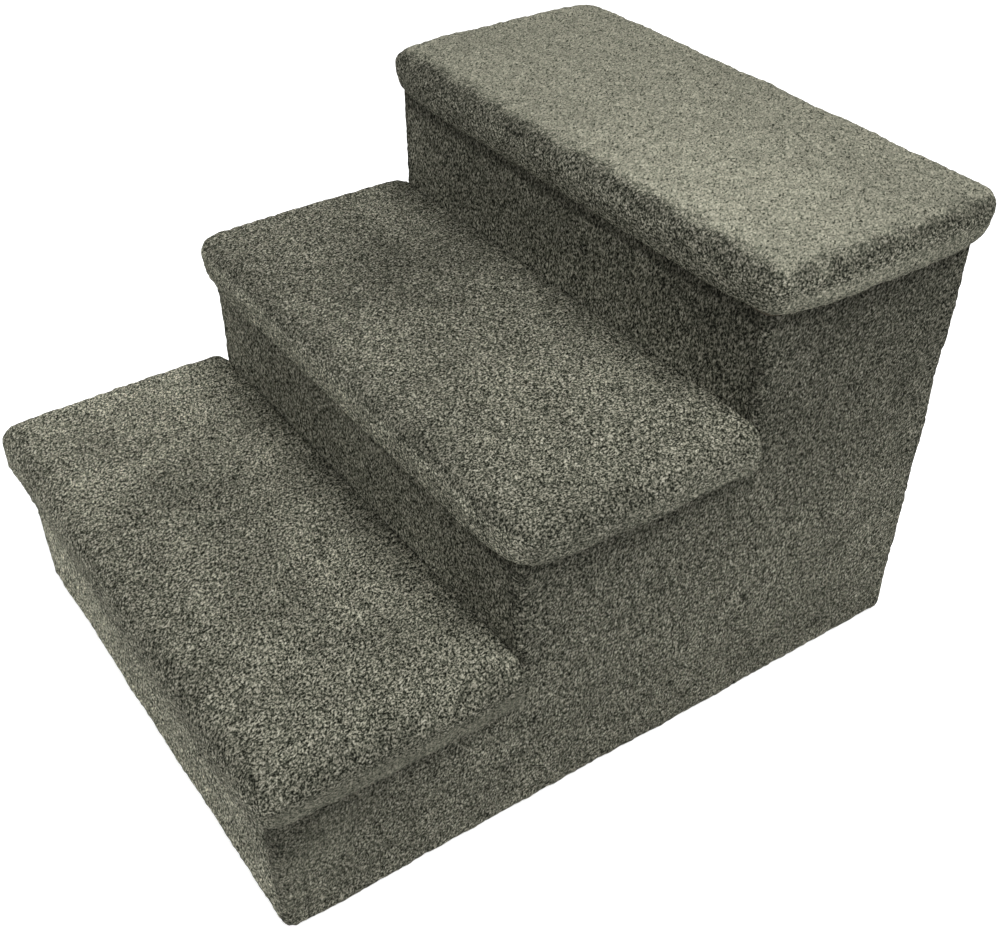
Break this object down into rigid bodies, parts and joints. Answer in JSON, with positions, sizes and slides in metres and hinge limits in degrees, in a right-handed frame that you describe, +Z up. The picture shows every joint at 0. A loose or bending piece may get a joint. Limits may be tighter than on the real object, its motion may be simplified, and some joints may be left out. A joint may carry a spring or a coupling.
{
  "type": "pet stairs",
  "caption": "Stepped wooden box with overhanging treads, wrapped all over in cut-pile carpet, that lets a small pet climb to a sofa or bed.",
  "frame": {"origin": "centre of the stairs' bounding box at floor level", "axes": "+Z up, +Y the way the stairs climb, +X the right-hand side of a pet that climbs them"},
  "size_m": [0.457, 0.577, 0.3685],
  "materials": {
    "carpet": "twisted cut pile, flecked grey-green, matt",
    "plywood": "sanded plywood, unpainted",
    "pine": "planed pine, unpainted",
    "zinc_screw": "zinc plated",
    "nail_steel": "bright drawn steel",
    "staple_steel": "galvanised wire"
  },
  "bodies": {
    "root": {"left_side_panel": "plywood", "right_side_panel": "plywood", "lower_riser_board": "plywood", "middle_riser_board": "plywood", "upper_riser_board": "plywood", "back_board": "plywood", "lower_tread_board": "plywood", "middle_tread_board": "plywood", "upper_tread_board": "plywood", "lower_left_cleat": "pine", "lower_right_cleat": "pine", "middle_left_cleat": "pine", "middle_right_cleat": "pine", "upper_left_cleat": "pine", "upper_right_cleat": "pine", "front_left_batten": "pine", "front_right_batten": "pine", "back_left_batten": "pine", "back_right_batten": "pine", "lower_tread_carpet": "carpet", "middle_tread_carpet": "carpet", "upper_tread_carpet": "carpet", "lower_riser_carpet": "carpet", "middle_riser_carpet": "carpet", "upper_riser_carpet": "carpet", "left_side_carpet": "carpet", "right_side_carpet": "carpet", "back_carpet": "carpet", "cleat_screws": "zinc_screw", "tread_screws": "zinc_screw", "batten_screws": "zinc_screw", "riser_nails": "nail_steel", "back_nails": "nail_steel", "tread_staples": "staple_steel", "hem_staples": "staple_steel"}
  },
  "joints": []
}
